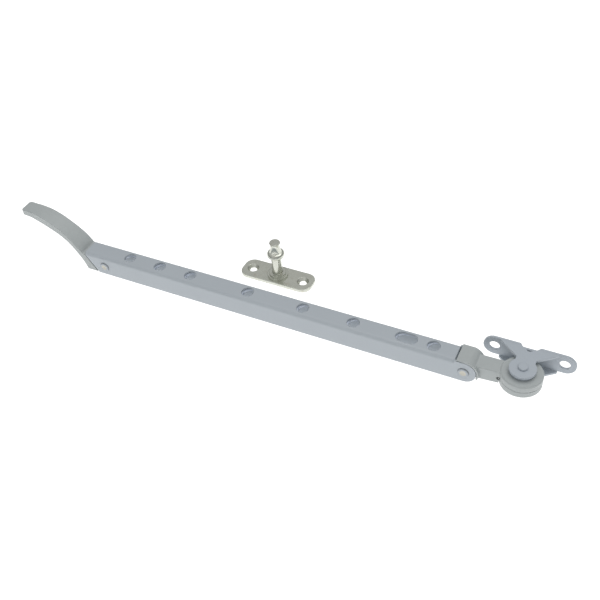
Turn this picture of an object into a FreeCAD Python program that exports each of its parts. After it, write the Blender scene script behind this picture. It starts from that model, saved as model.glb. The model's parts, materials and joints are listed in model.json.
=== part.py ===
"""Casement window stay: a folded channel arm on a swivelling bracket, with its peg plate.

Millimetres.  The origin is the middle of the bracket's two screw holes, on the face that
lies against the window.  X runs along the arm (which points to -X), Y into the window,
Z up, square to the arm's web.
"""
import FreeCAD, Part

import math
import os
from types import SimpleNamespace

import Sketcher

TINY = 1e-6

SIZES = {
    # channel arm
    "arm_width": (15.4, "across the outside of the two side walls"),
    "arm_height": (16.4, "web's top to the side walls' bottom edge"),
    "arm_wall": (1.5, "sheet of the arm"),
    "bend_radius": (2.8, "outside radius of the arm's two bends"),
    "web_length": (290.0, "length of the perforated web"),
    "web_setback": (6.6, "lift rivet to the near end of the web"),
    "web_above_screws": (4.0, "web's top above the bracket's screw line"),
    "lever_inset": (16.4, "lever rivet in from the far end of the web"),
    "hole_dia": (9.0, "peg holes in the web"),
    "hole_1_reach": (259.9, "lift rivet to the first peg hole, by the lever"),
    "hole_2_reach": (233.8, "lift rivet to the second peg hole"),
    "hole_3_reach": (207.5, "lift rivet to the third peg hole"),
    "hole_4_reach": (160.1, "lift rivet to the fourth peg hole"),
    "hole_5_reach": (116.8, "lift rivet to the fifth peg hole"),
    "hole_6_reach": (79.3, "lift rivet to the sixth peg hole"),
    "slot_reach": (41.4, "lift rivet to the middle of the peg slot"),
    "hole_7_reach": (22.7, "lift rivet to the seventh peg hole"),
    "slot_length": (15.5, "peg slot, end to end"),
    "end_cut": (9.6, "how far the side walls' foot is cut back at the lever end"),
    "end_lip": (2.0, "height of the square part above that cut"),
    # locking bar and the clips that carry it
    "bar_sheet": (1.5, "sheet of the locking bar"),
    "bar_side_gap": (0.4, "locking bar from each side wall"),
    "bar_gap": (0.15, "bar below the web"),
    "bar_margin": (0.6, "bar's holes are wider than the web's by this all round"),
    "bar_tail": (5.5, "bar's lever end from the lever rivet"),
    "bar_front": (9.9, "bar's other end from the lift rivet"),
    "clip_sheet": (0.6, "sheet of the bar's clips"),
    "clip_length": (7.0, "clips, along the arm"),
    "clip_leg": (5.0, "depth of a clip's legs"),
    "clip_gap": (0.1, "clip below the bar"),
    # lever
    "lever_drop": (9.0, "lever rivet below the web's top"),
    "nose_top_gap": (0.2, "nose below the web when it stands upright"),
    "nose_lead": (0.83, "nose ahead of the rivet at rest"),
    "nose_radius": (1.3, "nose tip"),
    "nose_width": (5.0, "nose across the arm"),
    "nose_gap": (0.12, "nose inside the bar's window, each side"),
    "boss_gap": (0.95, "round end of the lever's tongue below the bar"),
    "tongue_gap": (1.3, "lever's tongue below the web where it leaves the handle"),
    "tongue_step": (14.5, "lever rivet to where the tongue starts to slope down"),
    "tongue_flat": (7.5, "lever rivet to where the tongue is down to the boss's height"),
    "grip_reach": (70.6, "lever rivet to the handle's tip"),
    "grip_rise": (33.8, "handle's tip above the lever rivet"),
    "grip_tip_depth": (5.0, "thickness of the handle's tip"),
    "grip_waist_reach": (35.6, "lever rivet to the middle of the grip's underside"),
    "grip_waist_rise": (18.1, "that middle above the lever rivet"),
    "grip_top_radius": (59.1, "arc of the handle's top"),
    "grip_under_radius": (68.5, "arc under the handle's outer half"),
    "grip_tip_width": (11.5, "handle's tip across"),
    "grip_taper_start": (24.0, "lever rivet to where the handle starts to narrow"),
    "grip_taper_end": (59.0, "lever rivet to where it stops narrowing"),
    "grip_corner": (2.2, "round on the tip's two corners"),
    "grip_edge": (0.8, "round on the handle's long edges"),
    "grip_root": (2.8, "web's end to where the handle's top comes level with its underside"),
    "shoulder_gap": (0.45, "handle's shoulder from the cut wall ends, at the top"),
    "heel_gap": (1.6, "handle's shoulder from the cut wall ends, at the bottom"),
    "heel_lift": (0.4, "heel above the side walls' bottom edge"),
    "heel_length": (8.8, "flat heel under the shoulder"),
    # rivets and washers
    "side_gap": (0.4, "play between a tongue and each side wall, filled by a washer"),
    "lever_rivet_dia": (4.0, "shank of the lever rivet"),
    "lift_rivet_dia": (5.0, "shank of the lift rivet"),
    "rivet_play": (0.05, "radial running clearance round every rivet and pin"),
    "rivet_head_dia": (7.2, "heads of both arm rivets"),
    "rivet_head": (1.0, "height of those heads"),
    "rivet_edge": (0.6, "slope round each head"),
    "rivet_dimple": (0.4, "depth of the dimple in each head"),
    "rivet_dimple_dia": (4.4, "dimple across"),
    "washer_sheet": (0.3, "washers beside the tongues"),
    "washer_rim": (1.6, "how far those washers reach past the rivet's shank"),
    # knuckle
    "knuckle_reach": (35.0, "swivel axis to the lift rivet"),
    "block_wall": (1.2, "knuckle's round shoulder behind its recess for the arm's ears"),
    "block_lip": (0.4, "flat top of that shoulder above the recess"),
    "block_gap": (1.3, "gap between the web's end and the shoulder"),
    "block_end": (20.0, "degrees below level at which the shoulder ends"),
    "ear_gap": (0.4, "radial gap between an arm ear and the shoulder's recess"),
    "lift_room": (0.4, "extra height of that recess where the arm's ears rise"),
    "tongue_radius": (8.0, "knuckle's tongue inside the arm, about the lift rivet"),
    "neck_top_near": (6.9, "neck's top above the lift rivet, at the rivet"),
    "neck_top_far": (7.6, "neck's top above the lift rivet, at the swivel"),
    "neck_foot_near": (4.5, "neck's underside below the lift rivet, at the rivet"),
    "neck_foot_far": (1.5, "neck's underside below the lift rivet, at the swivel"),
    "neck_edge": (0.8, "round on the neck's long edges"),
    "barrel_radius": (13.5, "outside of the barrel"),
    "barrel_top": (3.7, "barrel's top above the screw line"),
    "barrel_seam": (0.84, "barrel's seam below the screw line"),
    "barrel_foot": (6.0, "barrel's underside below the screw line"),
    "barrel_edge": (0.7, "chamfer round the barrel's top and bottom"),
    "seam_gap": (0.25, "open seam between the barrel's halves"),
    "cover_gap": (0.3, "neck's foot clear of the barrel's lower half"),
    "barrel_wall": (3.0, "wall of the barrel"),
    "brake_roof": (2.3, "thickness of the barrel's roof"),
    "brake_floor": (2.1, "thickness of the barrel's floor"),
    "lock_screw_dia": (2.2, "set screw that keys the barrel's lower half to the neck"),
    "lock_screw_length": (6.5, "length of that screw"),
    "lock_screw_depth": (1.6, "how deep its head sits in the neck's side"),
    "lock_screw_drop": (2.4, "set screw below the screw line"),
    "lock_screw_inset": (0.3, "middle of the set screw inside the barrel's outside"),
    "lock_screw_play": (0.05, "set screw in its hole"),
    "lock_socket_dia": (1.3, "socket in the set screw"),
    "lock_socket_depth": (1.0, "depth of that socket"),
    # brake and swivel
    "swivel_pin_dia": (5.0, "shank of the swivel pin"),
    "pin_flat": (2.0, "flats on the swivel pin, from its axis"),
    "pin_head_rim": (0.6, "swivel pin's upper head past its shank"),
    "pin_head": (1.5, "height of the upper head"),
    "pin_foot_rim": (1.5, "swivel pin's lower, riveted head past its shank"),
    "pin_foot": (1.2, "height of the lower head"),
    "pin_edge": (0.4, "chamfer round both heads"),
    "disc_gap": (0.7, "brake disc inside the barrel's wall"),
    "brake_disc_sheet": (1.8, "thickness of the brake disc"),
    "lining_sheet": (1.0, "thickness of each brake lining"),
    "lining_bore_gap": (0.8, "linings and spring outside the pin's shank"),
    "lining_gap": (0.9, "linings and spring inside the barrel's wall"),
    "brake_gap": (0.05, "running gap on each side of the disc"),
    "spring_sheet": (0.5, "sheet of the disc spring"),
    "thrust_radius": (7.9, "outer radius of the thrust washers"),
    "thrust_gap": (0.1, "running gap between each thrust washer and the bracket"),
    # bracket
    "standoff": (20.4, "swivel axis in front of the mounting face"),
    "bracket_sheet": (1.6, "sheet of the bracket"),
    "bracket_bend": (2.0, "outside radius of the bracket's two bends"),
    "bracket_up": (7.3, "bracket's top plate above the screw line"),
    "bracket_down": (9.4, "bracket's bottom plate below the screw line"),
    "screw_pitch": (45.3, "bracket's screw hole to screw hole"),
    "screw_hole_dia": (7.2, "bracket's screw holes"),
    "ear_radius": (7.3, "round ends of the mounting plate"),
    "wing_half": (18.9, "half the width of the top and bottom plates at the fold"),
    "strap_half": (6.3, "half the width of the strap that carries the lobe"),
    "strap_root": (11.9, "where the strap meets the wings, from the mounting face"),
    "lobe_radius": (8.6, "round lobe about the swivel pin"),
    "notch_half": (6.5, "half the width of the notch at the fold"),
    "notch_shoulder_half": (5.0, "half the width of the notch's V at its mouth"),
    "notch_shoulder": (2.1, "depth of the notch's shoulders"),
    "notch_floor_half": (0.8, "half the width of the notch's floor"),
    "notch_floor": (5.4, "depth of the notch"),
    "notch_drop": (2.8, "how far the mounting plate is cut down in the notch"),
    # peg plate
    "peg_offset": (18.0, "peg beyond the mounting face, on the window's side"),
    "peg_along": (191.6, "peg from the swivel axis, along the arm"),
    "plate_length": (57.4, "peg plate, end to end"),
    "plate_width": (19.0, "peg plate across"),
    "plate_sheet": (2.4, "thickness of the peg plate"),
    "plate_corner": (7.0, "corner radius of the peg plate"),
    "plate_edge": (0.5, "round on the plate's upper edge"),
    "plate_hole_pitch": (41.4, "peg plate's screw hole to screw hole"),
    "plate_hole_dia": (5.0, "screw holes in the peg plate"),
    "plate_sink_dia": (8.8, "countersinks of those holes, sloping at 45 degrees"),
    "collar_dia": (15.4, "collar's lower ring"),
    "collar_step_dia": (12.4, "collar's upper ring"),
    "collar_foot": (1.5, "height of the lower ring"),
    "collar_step": (1.4, "height of the upper ring"),
    "collar_gap": (0.05, "collar round the stud's shank"),
    "stud_root_dia": (6.0, "stud's riveted root in the plate"),
    "stud_shank_dia": (7.5, "stud's shank"),
    "stud_height": (30.8, "stud above the plate"),
    "bulge_dia": (13.0, "stud's bulge"),
    "bulge_height": (20.0, "middle of the bulge above the plate"),
    "bulge_half": (2.4, "half the height of the bulge"),
    "nape_dia": (9.2, "stud just above the bulge"),
    "waist_dia": (7.0, "stud's waist, under its head"),
    "waist_height": (27.8, "waist above the plate"),
    "stud_head_dia": (8.1, "stud's flared head"),
    "stud_edge": (0.3, "chamfer round the stud's head"),
}


class Size:
    """A length: its number, and the spreadsheet formula that gives it."""

    def __init__(self, number, formula):
        self.number = number
        self.formula = formula

    def _with(self, other, sign, number, flipped=False):
        text = other.formula if isinstance(other, Size) else repr(float(other))
        pair = (text, self.formula) if flipped else (self.formula, text)
        return Size(number, "(%s %s %s)" % (pair[0], sign, pair[1]))

    def __add__(self, other):
        return self._with(other, "+", self.number + number_of(other))

    def __sub__(self, other):
        return self._with(other, "-", self.number - number_of(other))

    def __rsub__(self, other):
        return self._with(other, "-", number_of(other) - self.number, flipped=True)

    def __mul__(self, other):
        return self._with(other, "*", self.number * number_of(other))

    def __truediv__(self, other):
        return self._with(other, "/", self.number / number_of(other))

    def __neg__(self):
        return Size(-self.number, "(0 - %s)" % self.formula)

    __radd__ = __add__
    __rmul__ = __mul__


def number_of(value):
    """The plain number of a Size or of a number."""
    return value.number if isinstance(value, Size) else float(value)


def root(value):
    """The square root of a Size."""
    return Size(math.sqrt(value.number), "sqrt(%s)" % value.formula)


def across(radius, rise):
    """How far out a circle of this radius is at this rise from its centre."""
    return root(radius * radius - rise * rise)


def wave(kind, degrees):
    """The "sin" or "cos" of a Size in degrees."""
    number = getattr(math, kind)(math.radians(degrees.number))
    return Size(number, "%s(%s * 1 deg)" % (kind, degrees.formula))


def swell_radius(half_height, depth):
    """Radius of the arc that swells by a depth over half a height and ends upright there."""
    return (half_height * half_height + depth * depth) / (depth * 2)


doc = FreeCAD.newDocument("WindowStay")
sheet = doc.addObject("Spreadsheet::Sheet", "Sizes")
for row, (name, (value, note)) in enumerate(SIZES.items(), start=1):
    sheet.set("A%d" % row, name)
    sheet.set("B%d" % row, str(value))
    sheet.setAlias("B%d" % row, name)
    sheet.set("C%d" % row, note)
doc.recompute()
d = SimpleNamespace(**{name: Size(sheet.get(name), "Sizes." + name) for name in SIZES})


# ---------------------------------------------------------------- building helpers

def bind(target, path, value):
    """Ties a property to a size, or sets it when it is a plain number."""
    if isinstance(value, Size):
        target.setExpression(path, value.formula)
    else:
        target.setExpression(path, repr(float(value)))


def place(thing, where):
    """Ties an object's placement to three sizes."""
    for axis, value in zip("xyz", where):
        bind(thing, "Placement.Base." + axis, value)


def new_body(label, where=(0, 0, 0)):
    body = doc.addObject("PartDesign::Body", label)
    body.Label = label
    place(body, where)
    return body


def new_sketch(body, plane, offset=None):
    """A sketch on one of the body's own planes, moved along that plane's normal."""
    sketch = body.newObject("Sketcher::SketchObject", body.Label + "_sketch")
    support = [part for part in body.Origin.OriginFeatures if part.Role == plane + "_Plane"][0]
    sketch.AttachmentSupport = [(support, "")]
    sketch.MapMode = "FlatFace"
    if offset is not None:
        bind(sketch, "AttachmentOffset.Base.z", offset)
    return sketch


def vector(point):
    return FreeCAD.Vector(number_of(point[0]), number_of(point[1]), 0)


def pin_point(sketch, curve, end, point):
    """Fixes one end (or the centre, 3) of a curve at a point given as two sizes."""
    for kind, axis, value in (("DistanceX", -2, point[0]), ("DistanceY", -1, point[1])):
        if not isinstance(value, Size) and abs(value) < TINY:
            sketch.addConstraint(Sketcher.Constraint("PointOnObject", curve, end, axis))
            continue
        index = sketch.addConstraint(Sketcher.Constraint(kind, curve, end, number_of(value)))
        bind(sketch, "Constraints[%d]" % index, value)


def arc_between(start, finish, radius, turn):
    """The short arc from start to finish; turn is 1 for anticlockwise, -1 for clockwise."""
    chord = finish - start
    middle = (start + finish) * 0.5
    square = radius * radius - chord.Length ** 2 / 4
    side = FreeCAD.Vector(-chord.y, chord.x, 0).normalize() * (turn * math.sqrt(max(square, 0)))
    centre = middle + side
    first, last = (start, finish) if turn > 0 else (finish, start)
    begin = math.atan2(first.y - centre.y, first.x - centre.x)
    end = math.atan2(last.y - centre.y, last.x - centre.x)
    circle = Part.Circle(centre, FreeCAD.Vector(0, 0, 1), radius)
    return Part.ArcOfCircle(circle, begin, end if end > begin else end + 2 * math.pi)


def outline(sketch, points):
    """Draws a closed outline.

    Each point is (x, y); one that an arc leads to is (x, y, radius, turn).  A plain number
    for the radius is a first guess, for an arc that runs on smoothly from the curve before.
    """
    curves = []
    before = points[-1]
    for point in points:
        start, finish = vector(before), vector(point)
        if len(point) == 2:
            curve = sketch.addGeometry(Part.LineSegment(start, finish), False)
            ends = (1, 2)
        else:
            arc = arc_between(start, finish, number_of(point[2]), point[3])
            curve = sketch.addGeometry(arc, False)
            ends = (1, 2) if point[3] > 0 else (2, 1)
        curves.append((curve, ends, point))
        before = point
    for i, (curve, ends, point) in enumerate(curves):
        following = curves[(i + 1) % len(curves)]
        smooth = len(following[2]) > 2 and not isinstance(following[2][2], Size)
        if not smooth:
            sketch.addConstraint(Sketcher.Constraint(
                "Coincident", curve, ends[1], following[0], following[1][0]))
        pin_point(sketch, curve, ends[1], point)
        if len(point) > 2 and isinstance(point[2], Size):
            index = sketch.addConstraint(
                Sketcher.Constraint("Radius", curve, point[2].number))
            bind(sketch, "Constraints[%d]" % index, point[2])
    for (before, ends_before, _), (curve, ends, point) in zip(curves, curves[1:]):
        if len(point) > 2 and not isinstance(point[2], Size):
            sketch.addConstraint(Sketcher.Constraint(
                "Tangent", before, ends_before[1], curve, ends[0]))


def circle(sketch, centre, radius):
    shape = Part.Circle(vector(centre), FreeCAD.Vector(0, 0, 1), number_of(radius))
    curve = sketch.addGeometry(shape, False)
    pin_point(sketch, curve, 3, centre)
    index = sketch.addConstraint(Sketcher.Constraint("Radius", curve, number_of(radius)))
    bind(sketch, "Constraints[%d]" % index, radius)


def stadium(sketch, centre_x, centre_y, length, width):
    """A slot along the sketch's X, with round ends drawn as quarter arcs."""
    end = width / 2
    half = length / 2 - end
    left, right = centre_x - half, centre_x + half
    outline(sketch, [
        (right, centre_y - end),
        (right + end, centre_y, end, 1),
        (right, centre_y + end, end, 1),
        (left, centre_y + end),
        (left - end, centre_y, end, 1),
        (left, centre_y - end, end, 1)])


def rectangle(sketch, low_x, high_x, low_y, high_y):
    outline(sketch, [(low_x, low_y), (high_x, low_y), (high_x, high_y), (low_x, high_y)])


def pad(body, sketch, length, both_ways=True, backwards=False):
    feature = body.newObject("PartDesign::Pad", body.Label + "_pad")
    feature.Profile = sketch
    feature.SideType = "Symmetric" if both_ways else "One side"
    feature.Reversed = backwards
    bind(feature, "Length", length)
    return feature


def pocket(body, sketch, length=None, both_ways=True, backwards=False):
    """Cuts a sketch out of the body, right through when no length is given."""
    doc.recompute()
    before = body.Shape.Volume
    feature = body.newObject("PartDesign::Pocket", body.Label + "_pocket")
    feature.Profile = sketch
    feature.SideType = "Symmetric" if both_ways else "One side"
    feature.Reversed = backwards
    if length is None:
        feature.Type = "ThroughAll"
    else:
        bind(feature, "Length", length)
    doc.recompute()
    if feature.Shape.Volume > before - TINY:
        raise RuntimeError(body.Label + ": a pocket cuts nothing")
    return feature


def revolve(body, sketch):
    """Turns a sketch about its own vertical axis."""
    feature = body.newObject("PartDesign::Revolution", body.Label + "_turned")
    feature.Profile = sketch
    feature.ReferenceAxis = (sketch, ["V_Axis"])
    feature.Angle = 360
    return feature


def soften(body, kind, size, wanted):
    """Rounds or chamfers every edge of the body's tip that the test picks."""
    doc.recompute()
    tip = body.Tip
    names = ["Edge%d" % i for i, edge in enumerate(tip.Shape.Edges, start=1) if wanted(edge)]
    if not names:
        raise RuntimeError(body.Label + ": no edge to soften")
    feature = body.newObject("PartDesign::" + kind, body.Label + "_" + kind.lower())
    feature.Base = (tip, names)
    bind(feature, "Radius" if kind == "Fillet" else "Size", size)
    return feature


def edge_along(edge, axis):
    """True for a straight edge that runs along an axis, 0 for X, 1 for Y, 2 for Z."""
    if not isinstance(edge.Curve, Part.Line):
        return False
    return abs(abs(edge.Curve.Direction[axis]) - 1) < TINY


def near(first, second):
    return abs(first - number_of(second)) < 1e-4


def turned(label, where, plane, half_section):
    """A turned piece: its half section, revolved about the plane's vertical axis."""
    body = new_body(label, where)
    sketch = new_sketch(body, plane)
    outline(sketch, half_section)
    revolve(body, sketch)
    return body


def ring_at(label, where, plane, low, high, inner, outer):
    """A washer about a plane's vertical axis, from low to high along it."""
    return turned(label, where, plane, [(inner, low), (outer, low), (outer, high), (inner, high)])


# ---------------------------------------------------------------- shared places

inner_half = d.arm_width / 2 - d.arm_wall
tongue_width = (inner_half - d.side_gap) * 2
arm_half = d.arm_height / 2
lift_z = d.web_above_screws - arm_half
rivet_pitch = d.web_setback + d.web_length - d.lever_inset
lift_rivet = (-d.knuckle_reach, -d.standoff, lift_z)
lever_rivet = (-(d.knuckle_reach + rivet_pitch), -d.standoff, d.web_above_screws - d.lever_drop)
swivel = (0, -d.standoff, 0)
peg = (-d.peg_along, d.peg_offset, d.web_above_screws - d.arm_height)
web_under = arm_half - d.arm_wall
bar_under = web_under - d.bar_gap - d.bar_sheet
web_near_end = -d.web_setback
web_far_end = web_near_end - d.web_length
lift_bore = d.lift_rivet_dia / 2 + d.rivet_play
lever_bore = d.lever_rivet_dia / 2 + d.rivet_play
pin_bore = d.swivel_pin_dia / 2 + d.rivet_play
bar_travel = d.nose_lead * 2
room_radius = d.barrel_radius - d.barrel_wall
disc_top = d.barrel_top - d.brake_roof - d.lining_sheet - d.brake_gap
disc_under = disc_top - d.brake_disc_sheet
spring_top = disc_under - d.brake_gap - d.lining_sheet
cover_floor = d.brake_floor - d.barrel_foot
lining_inner = d.swivel_pin_dia / 2 + d.lining_bore_gap
lining_outer = room_radius - d.lining_gap
plate_under = d.bracket_up - d.bracket_sheet
plate_over = d.bracket_sheet - d.bracket_down
lock_reach = d.barrel_radius - d.lock_screw_inset
lock_hole = (-lock_reach, -d.lock_screw_drop)


# ---------------------------------------------------------------- arm

def make_arm():
    """The folded channel, open below, with round ears past the web's near end."""
    body = new_body("arm_channel", lift_rivet)
    half = d.arm_width / 2
    section = new_sketch(body, "YZ", web_near_end)
    outline(section, [
        (-half, -arm_half), (-inner_half, -arm_half), (-inner_half, web_under),
        (inner_half, web_under), (inner_half, -arm_half), (half, -arm_half),
        (half, arm_half - d.bend_radius),
        (half - d.bend_radius, arm_half, d.bend_radius, 1),
        (d.bend_radius - half, arm_half),
        (-half, arm_half - d.bend_radius, d.bend_radius, 1)])
    pad(body, section, d.web_length, both_ways=False, backwards=True)
    ears = new_sketch(body, "XZ")
    outline(ears, [
        (web_near_end, arm_half), (web_near_end, -arm_half), (0, -arm_half),
        (arm_half, 0, arm_half, 1), (0, arm_half, arm_half, 1)])
    pad(body, ears, d.arm_width)
    between = new_sketch(body, "XY")
    rectangle(between, web_near_end, arm_half * 2, -inner_half, inner_half)
    pocket(body, between)
    end = new_sketch(body, "XZ")
    outline(end, [
        (web_far_end, arm_half - d.end_lip),
        (web_far_end - d.end_cut, arm_half - d.end_lip),
        (web_far_end - d.end_cut, -arm_half),
        (web_far_end + d.end_cut, -arm_half)])
    pocket(body, end)
    holes = new_sketch(body, "XY")
    for reach in (d.hole_1_reach, d.hole_2_reach, d.hole_3_reach, d.hole_4_reach,
                  d.hole_5_reach, d.hole_6_reach, d.hole_7_reach):
        circle(holes, (-reach, 0), d.hole_dia / 2)
    stadium(holes, -d.slot_reach, 0, d.slot_length, d.hole_dia)
    pocket(body, holes)
    rivets = new_sketch(body, "XZ")
    circle(rivets, (0, 0), lift_bore)
    circle(rivets, (-rivet_pitch, arm_half - d.lever_drop), lever_bore)
    pocket(body, rivets)


def make_bar():
    """The flat bar under the web: its holes sit off the web's until the lever goes down."""
    body = new_body("locking_bar", lift_rivet)
    sketch = new_sketch(body, "XY", bar_under)
    half = inner_half - d.bar_side_gap
    wide = d.hole_dia + d.bar_margin * 2
    rectangle(sketch, -rivet_pitch - d.bar_tail, -d.bar_front, -half, half)
    for reach in (d.hole_2_reach, d.hole_3_reach, d.hole_4_reach,
                  d.hole_5_reach, d.hole_6_reach, d.hole_7_reach):
        circle(sketch, (bar_travel - reach, 0), wide / 2)
    stadium(sketch, bar_travel - d.slot_reach, 0, d.slot_length + d.bar_margin * 2, wide)
    stadium(sketch, bar_travel / 2 - d.hole_1_reach, 0, wide + bar_travel, wide)
    nose = d.nose_lead - rivet_pitch
    window = d.nose_radius + d.nose_gap
    side = d.nose_width / 2 + d.nose_gap
    rectangle(sketch, nose - window, nose + window, -side, side)
    pad(body, sketch, d.bar_sheet, both_ways=False)


def make_clips():
    """Four clips welded between the side walls, which carry the bar clear of the holes."""
    top = bar_under - d.clip_gap
    slot_end = d.slot_reach + d.slot_length / 2
    middles = [
        (d.hole_1_reach + d.hole_2_reach) / 2,
        (d.hole_3_reach + d.hole_4_reach) / 2,
        (d.hole_4_reach + d.hole_5_reach) / 2,
        (d.hole_6_reach - d.hole_dia / 2 + slot_end) / 2]
    for number, reach in enumerate(middles, start=1):
        body = new_body("bar_clip_%d" % number, lift_rivet)
        sketch = new_sketch(body, "YZ", d.clip_length / 2 - reach)
        outline(sketch, [
            (-inner_half, top), (-inner_half, top - d.clip_leg),
            (d.clip_sheet - inner_half, top - d.clip_leg),
            (d.clip_sheet - inner_half, top - d.clip_sheet),
            (inner_half - d.clip_sheet, top - d.clip_sheet),
            (inner_half - d.clip_sheet, top - d.clip_leg),
            (inner_half, top - d.clip_leg), (inner_half, top)])
        pad(body, sketch, d.clip_length, both_ways=False, backwards=True)


def make_rivet(label, where, shank_dia):
    """A rivet across the arm, with a dimpled head on each side."""
    shank = shank_dia / 2
    head = d.rivet_head_dia / 2
    face = d.arm_width / 2
    rim = face + d.rivet_head - d.rivet_edge
    top = face + d.rivet_head
    hollow = d.rivet_dimple_dia / 2
    turned(label, where, "XY", [
        (0, d.rivet_dimple - top), (hollow, -top), (head - d.rivet_edge, -top),
        (head, -rim), (head, -face), (shank, -face), (shank, face), (head, face),
        (head, rim), (head - d.rivet_edge, top), (hollow, top), (0, top - d.rivet_dimple)])


def make_side_washers(label, where, shank_dia):
    """Two thin washers on one rivet, one on each side of the tongue."""
    inner = shank_dia / 2 + d.rivet_play
    outer = shank_dia / 2 + d.washer_rim
    low = inner_half - (d.side_gap + d.washer_sheet) / 2
    high = low + d.washer_sheet
    front = ring_at(label + "_front", where, "XY", -high, -low, inner, outer)
    rear = ring_at(label + "_rear", where, "XY", low, high, inner, outer)
    both = doc.addObject("Part::Compound", label)
    both.Label = label
    both.Links = [front, rear]


# ---------------------------------------------------------------- lever

def make_lever():
    """The cast handle: a curved grip, a shoulder at the arm's end and a tongue inside it."""
    body = new_body("lever_handle", lever_rivet)
    web_end = rivet_pitch + web_far_end
    level = d.lever_drop - d.arm_wall
    foot = d.lever_drop - d.arm_height + d.heel_lift
    heel = web_end + d.end_cut - d.heel_gap
    root_x = web_end - d.grip_root
    grip = new_sketch(body, "XZ")
    outline(grip, [
        (-d.grip_reach, d.grip_rise, d.grip_top_radius, 1),
        (-d.grip_reach, d.grip_rise - d.grip_tip_depth),
        (-d.grip_waist_reach, d.grip_waist_rise, d.grip_under_radius, -1),
        (heel - d.heel_length, foot, 43.0, -1),
        (heel, foot),
        (web_end - d.shoulder_gap, d.lever_drop - d.end_lip - d.shoulder_gap),
        (root_x, level)])
    pad(body, grip, d.arm_width)
    taper = new_sketch(body, "XY")
    half, tip_half = d.arm_width / 2, d.grip_tip_width / 2
    middle_x = (d.grip_taper_start + d.grip_taper_end) / 2
    bend = swell_radius(middle_x - d.grip_taper_start, (half - tip_half) / 2)
    past_tip = -d.grip_reach - d.grip_tip_depth
    for side in (1, -1):
        outline(taper, [
            (-d.grip_taper_start, half * side),
            (-middle_x, (half + tip_half) / 2 * side, bend, -side),
            (-d.grip_taper_end, tip_half * side, bend, side),
            (past_tip, tip_half * side), (past_tip, d.arm_width * side),
            (-d.grip_taper_start, d.arm_width * side)])
    pocket(body, taper)
    soften(body, "Fillet", d.grip_corner, lambda edge: edge_along(edge, 2)
           and near(edge.CenterOfMass.x, -d.grip_reach))
    soften(body, "Fillet", d.grip_edge, lambda edge: not edge_along(edge, 2)
           and near(edge.BoundBox.XMin, -d.grip_reach))
    tongue = new_sketch(body, "XZ")
    rise = level - d.tongue_gap
    boss = level - d.bar_gap - d.bar_sheet - d.boss_gap
    outline(tongue, [
        (root_x, -rise), (-d.tongue_flat, -rise), (0, -boss), (boss, 0, boss, 1),
        (0, boss, boss, 1), (-d.tongue_flat, boss), (-d.tongue_step, rise), (root_x, rise)])
    pad(body, tongue, tongue_width)
    nose = new_sketch(body, "XZ")
    nose_reach = level - d.nose_radius - d.nose_top_gap
    nose_z = across(nose_reach, d.nose_lead)
    outline(nose, [
        (d.nose_lead - d.nose_radius, 0), (d.nose_lead + d.nose_radius, 0),
        (d.nose_lead + d.nose_radius, nose_z),
        (d.nose_lead, nose_z + d.nose_radius, d.nose_radius, 1),
        (d.nose_lead - d.nose_radius, nose_z, d.nose_radius, 1)])
    pad(body, nose, d.nose_width)
    bore = new_sketch(body, "XZ")
    circle(bore, (0, 0), lever_bore)
    pocket(body, bore)


# ---------------------------------------------------------------- knuckle

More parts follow.
